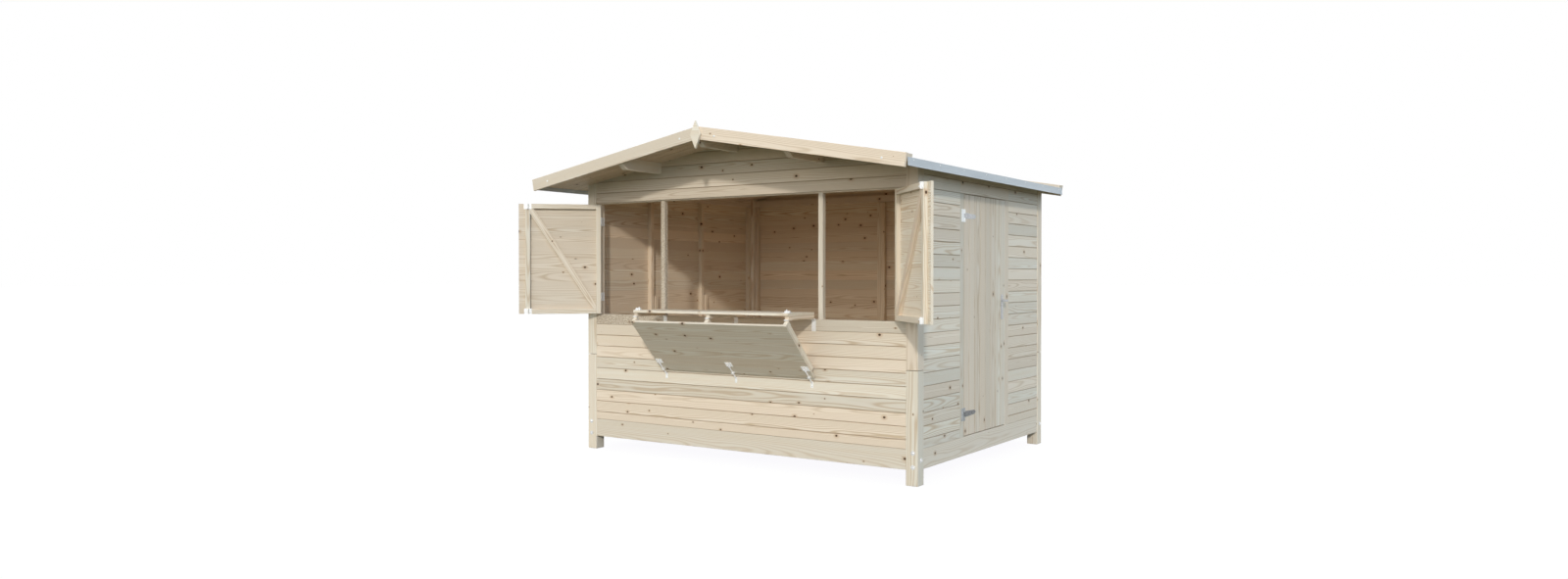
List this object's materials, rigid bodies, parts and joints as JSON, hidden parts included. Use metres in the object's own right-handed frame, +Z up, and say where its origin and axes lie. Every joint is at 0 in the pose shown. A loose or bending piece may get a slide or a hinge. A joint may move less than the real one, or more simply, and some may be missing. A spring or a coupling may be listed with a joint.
{
  "type": "wooden market stall",
  "caption": "Timber market hut with a low gable roof, a side door, hinged shutters and a counter that folds down from the serving opening.",
  "frame": {"origin": "on the ground, in the middle of the stall's overall width and depth with the shutters open and the counter down", "axes": "+X across the serving front towards the door side, +Y from the serving front to the rear wall, +Z up"},
  "size_m": [3.6566, 2.883, 2.499],
  "materials": {
    "spruce": "planed, untreated pale softwood",
    "zinc": "bright zinc plated",
    "eaves_metal": "pale grey coated sheet",
    "roof_felt": "matt roofing felt"
  },
  "bodies": {
    "stall": {"lower_posts": "spruce", "upper_posts": "spruce", "base_rails": "spruce", "floor_joists": "spruce", "floor_boards": "spruce", "front_wall": "spruce", "serving_sill": "spruce", "front_jambs": "spruce", "mullions": "spruce", "front_gable": "spruce", "wall_plates": "spruce", "left_wall": "spruce", "rear_wall": "spruce", "side_wall_front": "spruce", "side_wall_rear": "spruce", "side_wall_over_door": "spruce", "door_frame": "spruce", "wall_studs": "spruce", "roof_beams": "spruce", "roof_deck_left": "spruce", "roof_deck_right": "spruce", "roof_covering": "roof_felt", "eaves_trims": "eaves_metal", "front_barge_boards": "spruce", "rear_barge_boards": "spruce", "roof_battens": "spruce", "gable_diamonds": "spruce", "fixed_hinge_plates": "zinc", "bolt_keepers": "zinc"},
    "left_shutter": {"left_shutter_boards": "spruce", "left_shutter_frame": "spruce", "left_shutter_ironwork": "zinc"},
    "right_shutter": {"right_shutter_boards": "spruce", "right_shutter_frame": "spruce", "right_shutter_ironwork": "zinc"},
    "counter": {"counter_boards": "spruce", "counter_cleats": "spruce", "counter_ironwork": "zinc"},
    "support_leaf": {"support_boards": "spruce", "support_cleats": "spruce", "support_ironwork": "zinc"},
    "door": {"door_boards": "spruce", "door_ledges": "spruce", "door_straps": "zinc", "door_handle": "zinc"}
  },
  "joints": [
    {"name": "left_shutter_hinge", "type": "hinge", "parent": "stall", "child": "left_shutter", "pos_m": [-1.3605, -0.9475, 1.545], "axis": [0, 0, -1], "range_deg": [-135, 15]},
    {"name": "right_shutter_hinge", "type": "hinge", "parent": "stall", "child": "right_shutter", "pos_m": [1.3605, -0.9475, 1.545], "axis": [0, 0, 1], "range_deg": [-135, 15]},
    {"name": "counter_hinge", "type": "hinge", "parent": "stall", "child": "counter", "pos_m": [0, -0.9645, 1.1], "axis": [-1, 0, 0], "range_deg": [0, 90]},
    {"name": "support_fold", "type": "hinge", "parent": "counter", "child": "support_leaf", "pos_m": [0, -1.3065, 1.102], "axis": [-1, 0, 0], "range_deg": [0, 133.5]},
    {"name": "door_hinge", "type": "hinge", "parent": "stall", "child": "door", "pos_m": [1.501, -0.213, 1.1], "axis": [0, 0, -1], "range_deg": [0, 115]}
  ],
  "couplings": [
    {"joint": "support_fold", "follows": "counter_hinge", "ratio": 1.4833}
  ]
}
